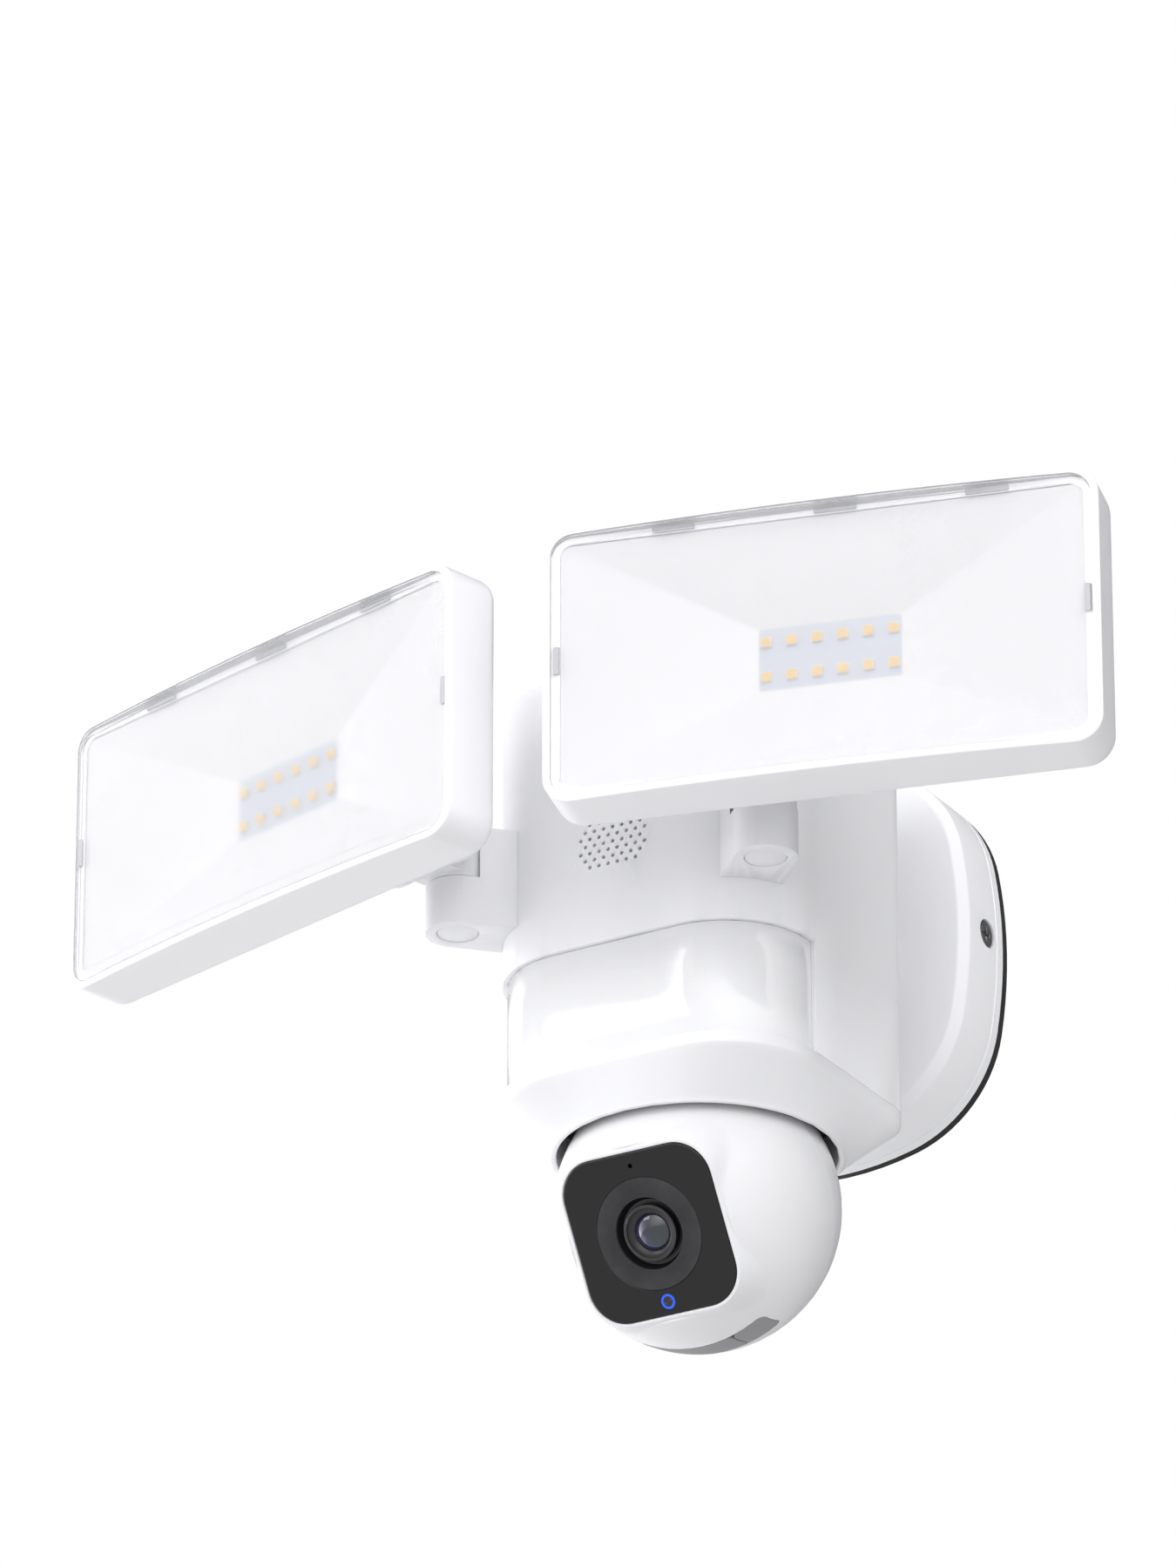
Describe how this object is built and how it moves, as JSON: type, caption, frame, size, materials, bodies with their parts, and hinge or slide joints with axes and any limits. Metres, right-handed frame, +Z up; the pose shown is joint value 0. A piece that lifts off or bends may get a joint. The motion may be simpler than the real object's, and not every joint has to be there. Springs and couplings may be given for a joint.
{
  "type": "floodlight security camera",
  "caption": "Wall-mounted camera column with a pan-and-tilt camera ball below and a swivelling LED floodlight on each front corner.",
  "frame": {"origin": "centre of the base gasket's wall face", "axes": "+Y into the wall, front of the camera is -Y, +X to the right seen from the front, +Z up"},
  "size_m": [0.3554, 0.212, 0.2138],
  "materials": {
    "foam_black": "matt foam",
    "white_shell": "fine satin",
    "steel": "zinc plated",
    "dark_plastic": "satin",
    "window_gloss": "gloss",
    "dark_mesh": "matt",
    "motor_steel": "satin",
    "circuit_board": "solder mask",
    "frosted_lens": "frosted",
    "grey_rubber": "matt",
    "reflector_white": "satin",
    "led_board": "white solder mask",
    "led_phosphor": "phosphor",
    "black_gloss": "gloss",
    "black_satin": "satin",
    "lens_glass": "coated glass",
    "blue_light": "lit ring"
  },
  "bodies": {
    "housing": {"wall_gasket": "foam_black", "base_rear_ring": "white_shell", "base_cover": "white_shell", "mounting_bracket": "steel", "base_side_screws": "steel", "ground_screw": "steel", "terminal_block": "dark_plastic", "neck": "white_shell", "neck_lock_nuts": "steel", "main_housing": "white_shell", "sensor_window": "window_gloss", "rear_hatch": "white_shell", "rear_hatch_screws": "steel", "column_skirt": "white_shell", "speaker_mesh": "dark_mesh", "speaker": "dark_plastic", "main_board": "circuit_board", "power_board": "circuit_board", "motion_sensor": "dark_plastic", "right_light_arm": "white_shell", "left_light_arm": "white_shell", "right_pivot_cap": "white_shell", "left_pivot_cap": "white_shell", "right_pivot_bolt": "steel", "left_pivot_bolt": "steel", "pan_frame": "dark_plastic", "pan_bearing": "steel", "pan_motor": "motor_steel"},
    "right_swivel": {"right_swivel": "white_shell", "right_tilt_pin": "steel"},
    "right_light": {"right_light_housing": "white_shell", "right_light_lens": "frosted_lens", "right_lens_seal": "grey_rubber", "right_reflector": "reflector_white", "right_led_board": "led_board", "right_leds": "led_phosphor"},
    "left_swivel": {"left_swivel": "white_shell", "left_tilt_pin": "steel"},
    "left_light": {"left_light_housing": "white_shell", "left_light_lens": "frosted_lens", "left_lens_seal": "grey_rubber", "left_reflector": "reflector_white", "left_led_board": "led_board", "left_leds": "led_phosphor"},
    "turret": {"pan_turret": "dark_plastic", "pan_shaft": "steel", "tilt_shaft": "steel"},
    "ball": {"ball_front_shell": "white_shell", "ball_rear_shell": "white_shell", "face_plate": "black_gloss", "lens_bezel": "black_gloss", "lens_barrel": "black_satin", "lens_glass": "lens_glass", "sensor_board": "circuit_board", "status_ring": "blue_light", "microphone": "dark_plastic", "tilt_motor": "motor_steel", "tilt_bushes": "steel"},
    "port_flap": {"port_flap": "grey_rubber"},
    "sync_button": {"sync_button": "grey_rubber"}
  },
  "joints": [
    {"name": "right_swivel_turn", "type": "hinge", "parent": "housing", "child": "right_swivel", "pos_m": [0.053, -0.1441, -0.003], "axis": [0, 0, 1], "range_deg": [-12, 60]},
    {"name": "right_light_tilt", "type": "hinge", "parent": "right_swivel", "child": "right_light", "pos_m": [0.05665, -0.15762, 0.006], "axis": [0.9655, 0.2605, 0], "range_deg": [-25, 55]},
    {"name": "left_swivel_turn", "type": "hinge", "parent": "housing", "child": "left_swivel", "pos_m": [-0.053, -0.1441, -0.003], "axis": [0, 0, -1], "range_deg": [-12, 60]},
    {"name": "left_light_tilt", "type": "hinge", "parent": "left_swivel", "child": "left_light", "pos_m": [-0.05665, -0.15762, 0.006], "axis": [0.9655, -0.2605, 0], "range_deg": [-25, 55]},
    {"name": "head_pan", "type": "hinge", "parent": "housing", "child": "turret", "pos_m": [0, -0.0931, -0.055], "axis": [0, 0, 1], "range_deg": [-175, 175]},
    {"name": "head_tilt", "type": "hinge", "parent": "turret", "child": "ball", "pos_m": [0, -0.0931, -0.10065], "axis": [1, 0, 0], "range_deg": [-12, 38]},
    {"name": "port_flap_pull", "type": "slide", "parent": "ball", "child": "port_flap", "axis": [0, 0.1994, -0.9799], "range_m": [0, 0.006]},
    {"name": "sync_button_press", "type": "slide", "parent": "ball", "child": "sync_button", "axis": [0, -0.1994, 0.9799], "range_m": [0, 0.0006], "stiffness_N_per_m": 900, "springref_m": -0.0006}
  ]
}
